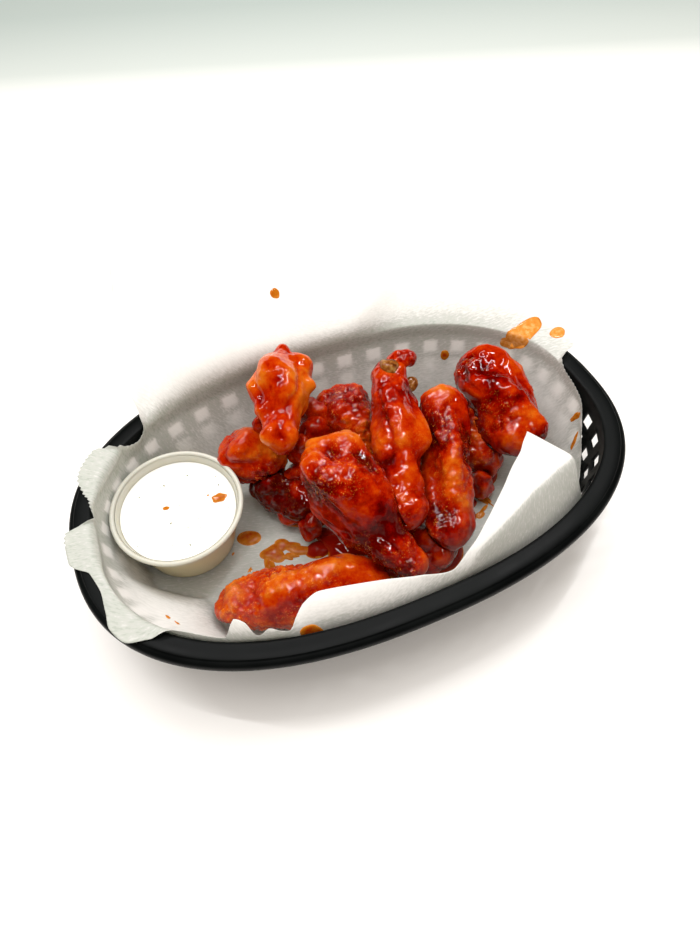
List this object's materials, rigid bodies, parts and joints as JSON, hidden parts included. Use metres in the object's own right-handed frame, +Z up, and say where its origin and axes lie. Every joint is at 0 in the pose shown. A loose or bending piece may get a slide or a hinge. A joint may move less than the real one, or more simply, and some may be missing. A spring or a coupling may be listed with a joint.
{
  "type": "chicken wings serving",
  "caption": "Oval plastic serving basket lined with paper, holding a pile of sauced chicken wings and a small cup of creamy dip.",
  "frame": {"origin": "centre of the basket's flat underside, on the table plane", "axes": "+X along the basket's length away from the cup of dip, +Y across it towards the raised back of the paper, +Z up"},
  "size_m": [0.2858, 0.223, 0.1004],
  "materials": {
    "black_plastic": "satin moulded black plastic",
    "paper": "thin white translucent deli paper",
    "cup_plastic": "milky translucent thin plastic",
    "dip": "smooth creamy white dip with herb flecks",
    "sauced_chicken": "wet glossy red-orange sauce over fried chicken skin"
  },
  "bodies": {
    "root": {"basket": "black_plastic", "paper_liner": "paper", "dip_cup": "cup_plastic", "dip": "dip", "wing_01_front_flat": "sauced_chicken", "wing_02_under_front": "sauced_chicken", "wing_03_under_left": "sauced_chicken", "wing_04_under_right": "sauced_chicken", "wing_05_behind_centre": "sauced_chicken", "wing_06_left_knob": "sauced_chicken", "wing_07_back_left": "sauced_chicken", "wing_08_right_back": "sauced_chicken", "wing_09_centre": "sauced_chicken", "wing_10_tall_centre": "sauced_chicken", "wing_11_right_centre": "sauced_chicken"}
  },
  "joints": []
}
